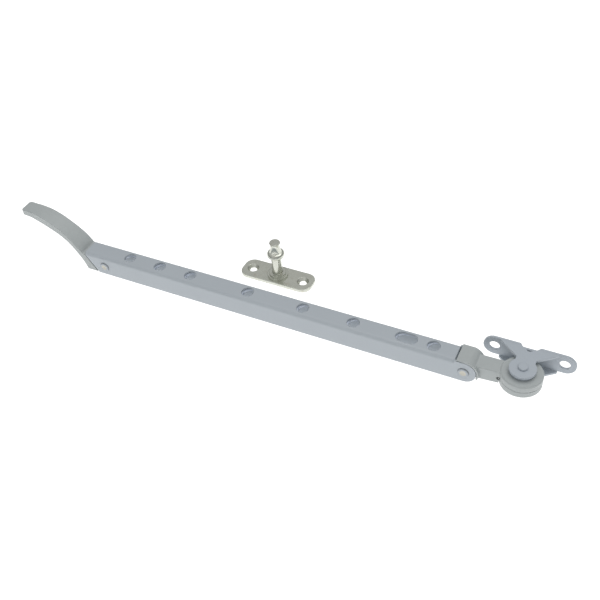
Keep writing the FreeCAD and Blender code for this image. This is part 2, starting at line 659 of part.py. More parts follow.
def make_knuckle():
    """The cast knuckle: tongue and shoulder at the arm, neck, and the barrel's upper half."""
    body = new_body("knuckle_body", swivel)
    middle = -d.knuckle_reach
    face = middle - d.web_setback + d.block_gap
    recess = arm_half + d.ear_gap
    block = recess + d.block_wall
    rise = recess + d.lift_room + d.block_lip
    lip_z = lift_z + recess + d.lift_room
    top_z = lift_z + rise
    far_cos = wave("cos", d.block_end)
    far_sin = wave("sin", d.block_end)
    neck = new_sketch(body, "XZ")
    outline(neck, [
        (middle, lift_z - d.neck_foot_near), (0, lift_z - d.neck_foot_far),
        (0, lift_z + d.neck_top_far), (middle, lift_z + d.neck_top_near)])
    pad(body, neck, tongue_width)
    soften(body, "Fillet", d.neck_edge,
           lambda edge: edge.Length > number_of(d.knuckle_reach) - 1)
    barrel = new_sketch(body, "XZ")
    outline(barrel, [
        (0, -d.barrel_seam), (d.barrel_radius, -d.barrel_seam),
        (d.barrel_radius, d.barrel_top - d.barrel_edge),
        (d.barrel_radius - d.barrel_edge, d.barrel_top), (0, d.barrel_top)])
    revolve(body, barrel)
    tongue = new_sketch(body, "XZ")
    outline(tongue, [
        (middle, lift_z + d.tongue_radius, d.tongue_radius, 1),
        (middle - d.tongue_radius, lift_z, d.tongue_radius, 1),
        (middle, lift_z - d.tongue_radius, d.tongue_radius, 1),
        (middle + d.tongue_radius, lift_z, d.tongue_radius, 1)])
    pad(body, tongue, tongue_width)
    shoulder = new_sketch(body, "XZ")
    flat = across(block, rise)
    outline(shoulder, [
        (face, top_z), (face, lip_z), (middle, lift_z + recess),
        (middle + recess * far_cos, lift_z - recess * far_sin, recess, -1),
        (middle + block * far_cos, lift_z - block * far_sin),
        (middle + flat, top_z, block, 1)])
    pad(body, shoulder, d.arm_width)
    core = new_sketch(body, "XZ")
    outline(core, [
        (face, top_z), (face, lift_z), (middle + recess, lift_z),
        (middle, lift_z + recess, recess, 1), (middle, top_z)])
    pad(body, core, tongue_width)
    below_seam = new_sketch(body, "XY", -d.barrel_seam)
    circle(below_seam, (0, 0), d.barrel_radius + d.cover_gap)
    pocket(body, below_seam, d.barrel_foot + d.knuckle_reach, both_ways=False)
    room = new_sketch(body, "XY", d.barrel_top - d.brake_roof)
    circle(room, (0, 0), room_radius)
    pocket(body, room, d.barrel_foot + d.knuckle_reach, both_ways=False)
    bore = new_sketch(body, "XY")
    circle(bore, (0, 0), pin_bore)
    pocket(body, bore)
    rivet_hole = new_sketch(body, "XZ")
    circle(rivet_hole, (middle, lift_z), lift_bore)
    pocket(body, rivet_hole)
    cross_hole = new_sketch(body, "XZ", tongue_width / 2)
    circle(cross_hole, lock_hole, d.lock_screw_dia / 2 + d.lock_screw_play)
    deep = d.lock_screw_depth + d.lock_screw_length + d.lock_screw_play
    pocket(body, cross_hole, deep, both_ways=False)


def make_cover():
    """The barrel's lower half, a cup keyed to the neck by the set screw."""
    edge = d.barrel_radius - d.barrel_edge
    rim = -d.barrel_seam - d.seam_gap
    body = turned("barrel_cover", swivel, "XZ", [
        (pin_bore, -d.barrel_foot), (edge, -d.barrel_foot),
        (d.barrel_radius, d.barrel_edge - d.barrel_foot), (d.barrel_radius, rim),
        (room_radius, rim), (room_radius, cover_floor),
        (pin_bore, cover_floor)])
    key = new_sketch(body, "XZ")
    circle(key, lock_hole, d.lock_screw_dia / 2 + d.lock_screw_play)
    pocket(body, key)


def make_lock_screw():
    """The set screw in the neck's front side, sunk, with a socket."""
    where = (-lock_reach, -d.standoff - tongue_width / 2 + d.lock_screw_depth,
             -d.lock_screw_drop)
    socket = d.lock_socket_dia / 2
    radius = d.lock_screw_dia / 2
    turned("cover_screw", where, "XY", [
        (0, d.lock_socket_depth), (socket, d.lock_socket_depth), (socket, 0), (radius, 0),
        (radius, d.lock_screw_length), (0, d.lock_screw_length)])


# ---------------------------------------------------------------- brake and swivel

def double_flat(sketch, radius, flat):
    """A round with two flats across X, its arcs drawn as quarter turns at most."""
    corner = across(radius, flat)
    outline(sketch, [
        (flat, -corner), (flat, corner), (0, radius, radius, 1), (-flat, corner, radius, 1),
        (-flat, -corner), (0, -radius, radius, 1), (flat, -corner, radius, 1)][1:])


def make_pin():
    """The swivel pin, riveted into the bracket, with flats that hold the brake disc."""
    shank = d.swivel_pin_dia / 2
    head = shank + d.pin_head_rim
    foot = shank + d.pin_foot_rim
    top = d.bracket_up + d.pin_head
    low = -d.bracket_down - d.pin_foot
    body = turned("swivel_pin", swivel, "XZ", [
        (0, low), (foot - d.pin_edge, low), (foot, low + d.pin_edge), (foot, -d.bracket_down),
        (shank, -d.bracket_down), (shank, d.bracket_up), (head, d.bracket_up),
        (head, top - d.pin_edge), (head - d.pin_edge, top), (0, top)])
    flats = new_sketch(body, "XY", disc_under)
    for side in (1, -1):
        outline(flats, [
            (d.pin_flat * side, -shank), (shank * 2 * side, -shank),
            (shank * 2 * side, shank), (d.pin_flat * side, shank)])
    pocket(body, flats, d.brake_disc_sheet, both_ways=False, backwards=True)


def make_disc():
    """The brake disc, held from turning by the pin's flats."""
    body = new_body("brake_disc", swivel)
    sketch = new_sketch(body, "XY", disc_under)
    circle(sketch, (0, 0), room_radius - d.disc_gap)
    double_flat(sketch, pin_bore, d.pin_flat + d.rivet_play)
    pad(body, sketch, d.brake_disc_sheet, both_ways=False)


def make_spring():
    """The disc spring, a shallow cone between the lower lining and the barrel's floor."""
    turned("brake_spring", swivel, "XZ", [
        (lining_inner, spring_top - d.spring_sheet), (lining_outer, cover_floor),
        (lining_outer, cover_floor + d.spring_sheet), (lining_inner, spring_top)])


def make_flat_rings():
    """Brake linings above and below the disc, and thrust washers outside the barrel."""
    rings = [
        ("brake_lining_upper", disc_top + d.brake_gap, d.barrel_top - d.brake_roof,
         lining_inner, lining_outer),
        ("brake_lining_lower", spring_top, disc_under - d.brake_gap,
         lining_inner, lining_outer),
        ("thrust_washer_upper", d.barrel_top, plate_under - d.thrust_gap,
         pin_bore, d.thrust_radius),
        ("thrust_washer_lower", plate_over + d.thrust_gap, -d.barrel_foot,
         pin_bore, d.thrust_radius)]
    for label, low, high, inner, outer in rings:
        ring_at(label, swivel, "XZ", low, high, inner, outer)


# ---------------------------------------------------------------- bracket

def make_bracket():
    """The folded bracket: mounting plate with two ears, and two plates that hold the pin."""
    body = new_body("sash_bracket", (0, 0, 0))
    up, low = d.bracket_up, -d.bracket_down
    thick, bend = d.bracket_sheet, d.bracket_bend
    front = -d.standoff - d.lobe_radius
    section = new_sketch(body, "YZ")
    outline(section, [
        (front, low), (-bend, low), (0, low + bend, bend, 1), (0, up - bend),
        (-bend, up, bend, 1), (front, up), (front, up - thick),
        (-bend, up - thick), (-thick, up - bend, bend - thick, -1),
        (-thick, low + bend), (-bend, low + thick, bend - thick, -1), (front, low + thick)])
    pad(body, section, d.wing_half * 2)
    plan = new_sketch(body, "XY")
    lobe = d.lobe_radius
    strap_end = across(lobe, d.strap_half) - d.standoff
    outside = d.wing_half + lobe
    outline(plan, [
        (d.wing_half, -bend), (d.strap_half, -d.strap_root), (d.strap_half, strap_end),
        (lobe, -d.standoff, lobe, -1), (0, front, lobe, -1), (-lobe, -d.standoff, lobe, -1),
        (-d.strap_half, strap_end, lobe, -1), (-d.strap_half, -d.strap_root),
        (-d.wing_half, -bend), (-outside, -bend), (-outside, front - lobe),
        (outside, front - lobe), (outside, -bend)])
    pocket(body, plan)
    ears = new_sketch(body, "XZ")
    stadium(ears, 0, 0, d.screw_pitch + d.ear_radius * 2, d.ear_radius * 2)
    pad(body, ears, thick, both_ways=False)
    notch = new_sketch(body, "XY", up)
    outline(notch, [
        (-d.notch_half, thick), (-d.notch_half, 0),
        (-d.notch_shoulder_half, -d.notch_shoulder), (-d.notch_floor_half, -d.notch_floor),
        (d.notch_floor_half, -d.notch_floor), (d.notch_shoulder_half, -d.notch_shoulder),
        (d.notch_half, 0), (d.notch_half, thick)])
    pocket(body, notch, d.notch_drop, both_ways=False)
    screws = new_sketch(body, "XZ")
    for side in (1, -1):
        circle(screws, (d.screw_pitch / 2 * side, 0), d.screw_hole_dia / 2)
    pocket(body, screws)
    pin_holes = new_sketch(body, "XY")
    circle(pin_holes, (0, -d.standoff), pin_bore)
    pocket(body, pin_holes)


# ---------------------------------------------------------------- peg plate

def make_peg_plate():
    """The plate that screws to the frame, with round corners and countersunk holes."""
    body = new_body("peg_plate", peg)
    half_x, half_y, corner = d.plate_length / 2, d.plate_width / 2, d.plate_corner
    outer = new_sketch(body, "XY")
    outline(outer, [
        (half_x - corner, -half_y), (half_x, corner - half_y, corner, 1),
        (half_x, half_y - corner), (half_x - corner, half_y, corner, 1),
        (corner - half_x, half_y), (-half_x, half_y - corner, corner, 1),
        (-half_x, corner - half_y), (corner - half_x, -half_y, corner, 1)])
    pad(body, outer, d.plate_sheet, both_ways=False)
    soften(body, "Fillet", d.plate_edge,
           lambda edge: near(edge.BoundBox.ZMin, d.plate_sheet))
    holes = new_sketch(body, "XY")
    for side in (1, -1):
        circle(holes, (d.plate_hole_pitch / 2 * side, 0), d.plate_hole_dia / 2)
    circle(holes, (0, 0), d.stud_root_dia / 2 + d.rivet_play)
    pocket(body, holes)
    soften(body, "Chamfer", (d.plate_sink_dia - d.plate_hole_dia) / 2,
           lambda edge: near(edge.BoundBox.ZMin, d.plate_sheet)
           and isinstance(edge.Curve, Part.Circle)
           and near(edge.Curve.Radius, d.plate_hole_dia / 2))


def make_peg():
    """The stepped collar and the turned stud that the arm's holes drop over."""
    x, y, under = peg
    where = (x, y, under + d.plate_sheet)
    step = d.collar_foot + d.collar_step
    ring = d.stud_shank_dia / 2 + d.collar_gap
    turned("peg_collar", where, "XZ", [
        (ring, 0), (d.collar_dia / 2, 0), (d.collar_dia / 2, d.collar_foot),
        (d.collar_step_dia / 2, d.collar_foot), (d.collar_step_dia / 2, step), (ring, step)])
    shank, bulge, nape = d.stud_shank_dia / 2, d.bulge_dia / 2, d.nape_dia / 2
    waist, head = d.waist_dia / 2, d.stud_head_dia / 2
    nape_z = d.bulge_height + d.bulge_half
    rim_z = d.stud_height - d.stud_edge
    turned("peg_stud", where, "XZ", [
        (0, d.rivet_play - d.plate_sheet), (d.stud_root_dia / 2, d.rivet_play - d.plate_sheet),
        (d.stud_root_dia / 2, 0), (shank, 0), (shank, d.bulge_height - d.bulge_half),
        (bulge, d.bulge_height, swell_radius(d.bulge_half, bulge - shank), 1),
        (nape, nape_z, swell_radius(d.bulge_half, bulge - nape), 1),
        (waist, d.waist_height, swell_radius(d.waist_height - nape_z, nape - waist), -1),
        (head, rim_z, swell_radius(rim_z - d.waist_height, head - waist), -1),
        (head - d.stud_edge, d.stud_height), (0, d.stud_height)])


def export_nodes():
    """Checks every object, then writes each sub-part under its own name."""
    doc.recompute()
    for thing in doc.Objects:
        if "Invalid" in thing.State or "Error" in thing.State:
            raise RuntimeError("%s is %s" % (thing.Label, thing.State))
    linked = [piece for thing in doc.Objects if thing.isDerivedFrom("Part::Compound")
              for piece in thing.Links]
    kinds = ("PartDesign::Body", "Part::Compound")
    nodes = [thing for thing in doc.Objects if thing.TypeId in kinds and thing not in linked]
    for node in nodes:
        if node.Shape.isNull() or not node.Shape.isValid():
            raise RuntimeError(node.Label + " has no valid shape")
    os.makedirs("parts", exist_ok=True)
    for node in nodes:
        node.Shape.exportStep("parts/%s.step" % node.Label)
        solids, volume = len(node.Shape.Solids), node.Shape.Volume
        print("%-20s %2d solids %10.1f mm3" % (node.Label, solids, volume))


make_arm()
make_bar()
make_clips()
make_rivet("lever_rivet", lever_rivet, d.lever_rivet_dia)
make_rivet("hinge_rivet", lift_rivet, d.lift_rivet_dia)
make_side_washers("lever_washers", lever_rivet, d.lever_rivet_dia)
make_side_washers("hinge_washers", lift_rivet, d.lift_rivet_dia)
make_lever()
make_knuckle()
make_cover()
make_lock_screw()
make_pin()
make_disc()
make_spring()
make_flat_rings()
make_bracket()
make_peg_plate()
make_peg()
export_nodes()
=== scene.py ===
import json
import math

import bmesh
import bpy
from bpy.props import FloatProperty, FloatVectorProperty, IntProperty, PointerProperty
from mathutils import Matrix, Vector


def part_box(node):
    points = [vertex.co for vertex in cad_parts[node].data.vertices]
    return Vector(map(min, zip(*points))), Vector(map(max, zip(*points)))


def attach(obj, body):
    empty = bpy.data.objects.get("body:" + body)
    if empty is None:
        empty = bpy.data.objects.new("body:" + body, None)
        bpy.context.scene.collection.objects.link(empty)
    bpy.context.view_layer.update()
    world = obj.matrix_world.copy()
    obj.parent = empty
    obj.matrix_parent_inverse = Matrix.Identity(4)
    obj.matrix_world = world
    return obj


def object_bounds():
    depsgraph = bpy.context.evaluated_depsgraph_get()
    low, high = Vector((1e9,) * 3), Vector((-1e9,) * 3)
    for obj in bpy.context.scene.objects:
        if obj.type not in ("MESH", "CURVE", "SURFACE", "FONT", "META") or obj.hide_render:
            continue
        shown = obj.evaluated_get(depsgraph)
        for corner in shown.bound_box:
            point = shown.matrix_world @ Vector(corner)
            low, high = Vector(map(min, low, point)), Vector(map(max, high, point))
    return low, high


bl_info = {
    "name": "Casement stay finisher",
    "version": (1, 0, 0),
    "blender": (4, 5, 0),
    "location": "View3D > Sidebar > Stay",
    "description": "Finishes a painted casement stay and its plated peg plate",
    "category": "Object",
}

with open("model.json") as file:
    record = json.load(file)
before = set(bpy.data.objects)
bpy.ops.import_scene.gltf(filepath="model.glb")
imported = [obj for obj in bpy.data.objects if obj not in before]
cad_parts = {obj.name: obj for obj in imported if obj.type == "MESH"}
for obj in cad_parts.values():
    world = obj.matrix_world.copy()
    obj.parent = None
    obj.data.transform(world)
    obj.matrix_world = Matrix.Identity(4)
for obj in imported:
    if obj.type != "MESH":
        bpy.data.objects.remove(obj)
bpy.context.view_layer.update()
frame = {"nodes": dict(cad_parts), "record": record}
MM = 0.001


# ---------------------------------------------------------------- sizes and colours

class StayFinish(bpy.types.PropertyGroup):
    """Colours and surface sizes of the painted pieces."""

    paint: FloatVectorProperty(
        name="Paint", description="Powder coat on the arm", subtype="COLOR", size=3,
        min=0, max=1, default=(0.430, 0.472, 0.508))
    cast_paint: FloatVectorProperty(
        name="Cast paint", description="Coat on the handle and knuckle", subtype="COLOR",
        size=3, min=0, max=1, default=(0.415, 0.448, 0.448))
    bracket_paint: FloatVectorProperty(
        name="Bracket paint", description="Coat on the folded bracket", subtype="COLOR",
        size=3, min=0, max=1, default=(0.425, 0.470, 0.515))
    peel_size: FloatProperty(
        name="Orange peel", description="Width of one swell of the coat", unit="LENGTH",
        default=1.3 * MM)
    grain_size: FloatProperty(
        name="Grain", description="Width of one grain of the coat", unit="LENGTH",
        default=0.22 * MM)
    edge_round: FloatProperty(
        name="Edge round", description="Radius of the coat over an edge", unit="LENGTH",
        default=0.28 * MM)


class StayPlating(bpy.types.PropertyGroup):
    """Colours of the bare and plated pieces."""

    nickel: FloatVectorProperty(
        name="Nickel", description="Polished plating of the peg plate", subtype="COLOR",
        size=3, min=0, max=1, default=(0.61, 0.625, 0.56))
    rivet: FloatVectorProperty(
        name="Rivets", description="Pale plating of the arm's rivets", subtype="COLOR",
        size=3, min=0, max=1, default=(0.56, 0.545, 0.48))
    zinc: FloatVectorProperty(
        name="Zinc", description="Zinc on the locking bar and its clips", subtype="COLOR",
        size=3, min=0, max=1, default=(0.54, 0.59, 0.67))


class StayTrim(bpy.types.PropertyGroup):
    """Sizes of the small trim that is added to the frame."""

    # The bead round a rivet is coloured dark as painted shade of the gap round the head.
    rim_thickness: FloatProperty(
        name="Rim", description="Thickness of the bead of paint round a rivet",
        unit="LENGTH", default=0.16 * MM)
    lip_thickness: FloatProperty(
        name="Lip", description="Thickness of the rolled lip of a punched hole",
        unit="LENGTH", default=0.14 * MM)
    steps: IntProperty(
        name="Steps", description="Steps round a ring", min=24, max=128, default=64)


class StayStudio(bpy.types.PropertyGroup):
    """Camera and light."""

    lens: FloatProperty(
        name="Lens", description="Focal length", unit="CAMERA", default=49.8)
    key: FloatProperty(
        name="Key", description="Power of the front light", unit="POWER", default=1.2)
    fill: FloatProperty(
        name="Fill", description="Power of the overhead light", unit="POWER", default=10.8)
    sky: FloatProperty(
        name="Sky", description="Strength of the surroundings", default=0.62)
    table: FloatProperty(
        name="Table", description="Strength of the lit table below the horizon", default=1.32)


# ---------------------------------------------------------------- shader maths

class Wire:
    """A shader socket that takes part in arithmetic."""

    def __init__(self, finish, socket):
        self.finish = finish
        self.socket = socket

    def _maths(self, operation, *values):
        return self.finish.node("ShaderNodeMath", {"operation": operation}, *values)

    def __add__(self, other):
        return self._maths("ADD", self, other)

    def __sub__(self, other):
        return self._maths("SUBTRACT", self, other)

    def __rsub__(self, other):
        return self._maths("SUBTRACT", other, self)

    def __mul__(self, other):
        return self._maths("MULTIPLY", self, other)

    __radd__ = __add__
    __rmul__ = __mul__

    def clamped(self):
        return self.finish.node("ShaderNodeClamp", {}, self)

    def sine(self):
        return self._maths("SINE", self)

    def between(self, low, high):
        """0 below low, 1 above high, smooth in between."""
        return self.finish.node(
            "ShaderNodeMapRange", {"interpolation_type": "SMOOTHSTEP"}, self, low, high)


class Finish:
    """A material in the making, with one method for its nodes."""

    def __init__(self, name, metallic=0.0, **plain):
        self.material = bpy.data.materials.new(name)
        self.material.use_nodes = True
        self.tree = self.material.node_tree
        self.shader = self.tree.nodes["Principled BSDF"]
        self.shader.inputs["Metallic"].default_value = metallic
        for socket, value in plain.items():
            self.shader.inputs[socket.replace("_", " ")].default_value = value
        self.place = self.node("ShaderNodeTexCoord", {}, output="Object")

    def node(self, kind, settings, *values, output=0, **named):
        """Adds a node: its settings first, then the values or links of its sockets."""
        node = self.tree.nodes.new(kind)
        for key, value in settings.items():
            setattr(node, key, value)
        pairs = list(enumerate(values)) + list(named.items())
        for key, value in pairs:
            socket = node.inputs[key]
            if isinstance(value, Wire):
                self.tree.links.new(value.socket, socket)
            elif value is not None:
                socket.default_value = value
        return Wire(self, node.outputs[output])

    def noise(self, size, detail, stretch=(1, 1, 1)):
        """Noise whose swells are one size wide, longer along an axis with a low stretch."""
        spread = self.node(
            "ShaderNodeMapping", {}, self.place, Scale=[share / size for share in stretch])
        return self.node(
            "ShaderNodeTexNoise", {}, Vector=spread, Scale=1.0, Detail=detail, Roughness=0.55)

    def cells(self, size, output="Distance"):
        spread = self.node("ShaderNodeMapping", {}, self.place, Scale=[1 / size] * 3)
        return self.node("ShaderNodeTexVoronoi", {}, Vector=spread, Scale=1.0, output=output)

    def mixed(self, first, second, factor):
        """A colour between two colours."""
        unused = [None] * 5
        return self.node(
            "ShaderNodeMix", {"data_type": "RGBA"}, factor, *unused, first, second, output=2)

    def edges(self, radius):
        """The normal rounded over every edge, and a mask that is 1 along the edges."""
        rounded = self.node("ShaderNodeBevel", {"samples": 6}, Radius=radius)
        flat = self.node("ShaderNodeNewGeometry", {}, output="Normal")
        agree = self.node(
            "ShaderNodeVectorMath", {"operation": "DOT_PRODUCT"}, rounded, flat, output="Value")
        return rounded, (1 - agree).between(0.004, 0.16)

    def bumped(self, height, depth, normal=None):
        return self.node(
            "ShaderNodeBump", {}, Strength=1.0, Distance=depth, Height=height, Normal=normal)

    def feeds(self, **sockets):
        """Links values to the shader's own sockets."""
        for name, value in sockets.items():
            self.tree.links.new(value.socket, self.shader.inputs[name.replace("_", " ")])


def rgba(colour, share=1.0):
    """A colour made lighter or darker, with its alpha."""
    return tuple(min(1.0, c * share) for c in colour) + (1.0,)


# ---------------------------------------------------------------- finishes

def powder_coat(name, colour, peel, grain, sizes, roughness=0.43, speckle=0.04):
    """Baked powder coat: orange peel, a fine grain, and a coat that thins over edges; the
    lighter colour along the edges is partly that thinner coat and partly a painted highlight.
    """
    finish = Finish(name, Coat_Roughness=0.25)
    normal, edge = finish.edges(sizes.edge_round)
    drift = finish.noise(38 * MM, 3)
    swell = finish.noise(peel, 1)
    fleck = finish.noise(grain, 2)
    base = finish.mixed(rgba(colour, 0.965), rgba(colour, 1.03), drift)
    base = finish.mixed(base, rgba(colour, 1 - speckle * 2.5), (fleck - 0.5) * speckle * 12)
    # lighter along the edges: partly the thinner coat, partly a painted highlight
    base = finish.mixed(base, rgba(colour, 1.10), edge * 0.55)
    scuff = finish.noise(5 * MM, 5, stretch=(0.12, 1, 1)).between(0.66, 0.75)
    finish.feeds(
        Base_Color=base,
        Roughness=swell * 0.06 + fleck * 0.05 + scuff * 0.05 + (roughness - 0.06),
        Coat_Weight=0.12 - edge * 0.08,
        Normal=finish.bumped(swell * 0.7 + fleck * 0.3, 0.016 * MM, normal))
    return finish.material


def cast_coat(name, colour, sizes):
    """Coat over a die casting: the casting's long soft waves show through it."""
    finish = Finish(name, Coat_Roughness=0.3)
    normal, edge = finish.edges(sizes.edge_round * 1.6)
    wave = finish.noise(7 * MM, 2)
    swell = finish.noise(sizes.peel_size, 1)
    fleck = finish.noise(sizes.grain_size * 1.6, 2)
    pits = finish.cells(1.9 * MM).between(0.0, 0.07)
    base = finish.mixed(rgba(colour, 0.95), rgba(colour, 1.04), wave)
    base = finish.mixed(base, rgba(colour, 0.86), (fleck - 0.52).clamped() * 1.6)
    # lighter along the edges: partly a thinner coat, partly a painted highlight
    base = finish.mixed(base, rgba(colour, 1.12), edge * 0.5)
    finish.feeds(
        Base_Color=base,
        Roughness=wave * 0.08 + swell * 0.05 + 0.38,
        Coat_Weight=0.10 - edge * 0.06,
        Normal=finish.bumped(wave * 2.2 + swell * 0.7 + fleck * 0.25 + pits * 0.35,
                             0.018 * MM, normal))
    return finish.material


def rivet_plate(name, colour, paint, centre):
    """A coated head round a bare, pale dimple that the riveting tool has turned; the coat
    darkens from 3.2 mm out as painted shade of the gap round the head.
    """
    finish = Finish(name)
    normal, edge = finish.edges(0.16 * MM)
    local = finish.node(
        "ShaderNodeVectorMath", {"operation": "SUBTRACT"}, finish.place, tuple(centre))
    flat = finish.node(
        "ShaderNodeVectorMath", {"operation": "MULTIPLY"}, local, (1.0, 0.0, 1.0))
    reach = finish.node(
        "ShaderNodeVectorMath", {"operation": "LENGTH"}, flat, output="Value")
    rings = (reach * (2 * math.pi / (0.32 * MM))).sine() * 0.5 + 0.5
    worn = finish.noise(1.1 * MM, 4)
    bare = 1 - reach.between(1.9 * MM, 2.4 * MM)
    # painted shade: darkens the coat from 3.2 mm out, standing in for the shade in the gap
    # round the head
    painted_gap_shade = reach.between(3.2 * MM, 3.6 * MM)
    metal = finish.mixed(rgba(colour, 0.86), rgba(colour, 1.1), worn)
    coat = finish.mixed(rgba(paint, 1.02), rgba(paint, 0.45), painted_gap_shade * 0.8)
    base = finish.mixed(coat, metal, bare)
    base = finish.mixed(base, rgba(colour, 1.2), edge * 0.3)
    finish.feeds(
        Base_Color=base,
        Metallic=bare * 0.35,
        Roughness=worn * 0.18 + rings * 0.05 + 0.34,
        Normal=finish.bumped(rings * 0.6 + worn * 0.8, 0.010 * MM, normal))
    return finish.material


def polished_nickel(name, colour, stretch, line):
    """Bright nickel over fine polishing lines, with faint stains, and its colour darker along
    the edges.
    """
    finish = Finish(name, metallic=0.9)
    normal, edge = finish.edges(0.30 * MM)
    lines = finish.noise(line, 3, stretch=stretch)
    waves = finish.noise(6 * MM, 2)
    stain = finish.noise(3.2 * MM, 5).between(0.52, 0.72)
    base = finish.mixed(rgba(colour, 0.9), rgba(colour, 1.08), waves)
    base = finish.mixed(base, rgba((0.44, 0.40, 0.32)), stain * 0.35)
    # colour darkened to 40% along the edges
    base = finish.mixed(base, rgba(colour, 0.40), edge * 0.8)
    finish.feeds(
        Base_Color=base,
        Roughness=lines * 0.12 + stain * 0.10 + 0.13,
        Normal=finish.bumped(lines * 0.35 + waves * 2.0, 0.012 * MM, normal))
    return finish.material


def zinc_plate(name, colour):
    """Pale zinc on rolled strip: soft spangles, rolling lines and bloom."""
    finish = Finish(name, metallic=0.35)
    normal, edge = finish.edges(0.15 * MM)
    spangle = finish.cells(3.5 * MM, output="Color")
    grey = finish.node("ShaderNodeRGBToBW", {}, spangle)
    lines = finish.noise(0.6 * MM, 3, stretch=(0.03, 1, 1))
    bloom = finish.noise(9 * MM, 4).between(0.5, 0.7)
    base = finish.mixed(rgba(colour, 0.85), rgba(colour, 1.12), grey)
    base = finish.mixed(base, rgba(colour, 1.35), bloom * 0.3 + edge * 0.3)
    finish.feeds(
        Base_Color=base,
        Roughness=lines * 0.12 + bloom * 0.15 + 0.34,
        Normal=finish.bumped(lines * 0.7 + grey * 0.4, 0.008 * MM, normal))
    return finish.material


def dark_steel(name, colour, roughness):
    """Blackened or bare spring steel: mottled, rubbed bright along its edges."""
    finish = Finish(name, metallic=0.9)
    normal, edge = finish.edges(0.12 * MM)
    mottle = finish.noise(0.9 * MM, 4)
    base = finish.mixed(rgba(colour, 0.7), rgba(colour, 1.35), mottle)
    base = finish.mixed(base, rgba((0.42, 0.42, 0.43)), edge * 0.5)
    finish.feeds(
        Base_Color=base,
        Roughness=mottle * 0.2 + roughness,
        Normal=finish.bumped(mottle, 0.006 * MM, normal))
    return finish.material


def brake_lining(name):
    """Pressed friction lining: coarse fibres and bright flecks in a dark binder."""
    finish = Finish(name)
    fibres = finish.noise(0.35 * MM, 4, stretch=(0.3, 1, 1))
    fleck = finish.cells(0.8 * MM).between(0.0, 0.22)
    base = finish.mixed(rgba((0.05, 0.045, 0.04)), rgba((0.13, 0.11, 0.09)), fibres)
    base = finish.mixed(rgba((0.42, 0.34, 0.18)), base, fleck)
    finish.feeds(
        Base_Color=base,
        Roughness=fibres * 0.2 + 0.7,
        Normal=finish.bumped(fibres + fleck * 0.4, 0.03 * MM))
    return finish.material


def washer_plastic(name):
    """Natural nylon: slightly translucent, with mould marks."""
    finish = Finish(name, Subsurface_Weight=0.15, Subsurface_Scale=0.4 * MM)
    mould = finish.noise(0.8 * MM, 3)
    base = finish.mixed(rgba((0.62, 0.61, 0.55)), rgba((0.74, 0.73, 0.67)), mould)
    finish.feeds(
        Base_Color=base,
        Roughness=mould * 0.12 + 0.42,
        Normal=finish.bumped(mould, 0.01 * MM))
    return finish.material


# ---------------------------------------------------------------- making pieces

def dress(material, *nodes):
    """Gives CAD nodes a finish."""
    for name in nodes:
        mesh = frame["nodes"][name].data
        mesh.materials.clear()
        mesh.materials.append(material)


def settle(name, mesh_bm, material, body):
    """Turns a finished bmesh into a piece that rides on a body."""
    bmesh.ops.recalc_face_normals(mesh_bm, faces=mesh_bm.faces)
    mesh = bpy.data.meshes.new(name)
    mesh_bm.to_mesh(mesh)
    mesh_bm.free()
    for polygon in mesh.polygons:
        polygon.use_smooth = True
    mesh.materials.append(material)
    piece = bpy.data.objects.new(name, mesh)
    bpy.context.scene.collection.objects.link(piece)
    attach(piece, body)
    return piece


SECTION_SIDES = 8


def add_ring(mesh_bm, centre, axis, radius, thickness, steps, stretch=0.0):
    """Adds a round bead about an axis; a stretch draws it out along X into a slot's shape."""
    turn = Vector((0, 0, 1)).rotation_difference(Vector(axis)).to_matrix().to_4x4()
    start = Matrix.Rotation(math.pi / steps, 4, "Z")
    place = Matrix.Translation((radius, 0, 0)) @ Matrix.Rotation(math.pi / 2, 4, "X")
    made = bmesh.ops.create_circle(
        mesh_bm, segments=SECTION_SIDES, radius=thickness / 2, matrix=start @ place)
    section = made["verts"] + list({edge for vert in made["verts"] for edge in vert.link_edges})
    before = set(mesh_bm.verts) - set(made["verts"])
    bmesh.ops.spin(
        mesh_bm, geom=section, cent=(0, 0, 0), axis=(0, 0, 1), angle=2 * math.pi,
        steps=steps, use_merge=True)
    verts = [vert for vert in mesh_bm.verts if vert not in before]
    for side in (1, -1):
        bmesh.ops.translate(
            mesh_bm, verts=[vert for vert in verts if vert.co.x * side > 0],
            vec=(stretch / 2 * side, 0, 0))
    bmesh.ops.transform(mesh_bm, matrix=Matrix.Translation(centre) @ turn, verts=verts)


class StayOperator:
    """What the stay's operators share."""

    bl_options = {"REGISTER", "UNDO"}

    def need(self, *nodes):
        missing = [name for name in nodes if name not in frame["nodes"]]
        if missing:
            raise RuntimeError("the frame lacks %s" % missing)


class PaintArm(StayOperator, bpy.types.Operator):
    """Powder coats the channel arm"""

    bl_idname = "stay.paint_arm"
    bl_label = "Arm"

    def execute(self, context):
        self.need("arm_channel")
        sizes = context.scene.stay_finish
        coat = powder_coat(
            "arm coat", sizes.paint, sizes.peel_size, sizes.grain_size, sizes)
        dress(coat, "arm_channel")
        return {"FINISHED"}


class PaintCastings(StayOperator, bpy.types.Operator):
    """Coats the handle, the knuckle and the barrel's lower half"""

    bl_idname = "stay.paint_castings"
    bl_label = "Handle and knuckle"

    def execute(self, context):
        self.need("lever_handle", "knuckle_body", "barrel_cover")
        sizes = context.scene.stay_finish
        coat = cast_coat("casting coat", sizes.cast_paint, sizes)
        dress(coat, "lever_handle", "knuckle_body", "barrel_cover")
        return {"FINISHED"}


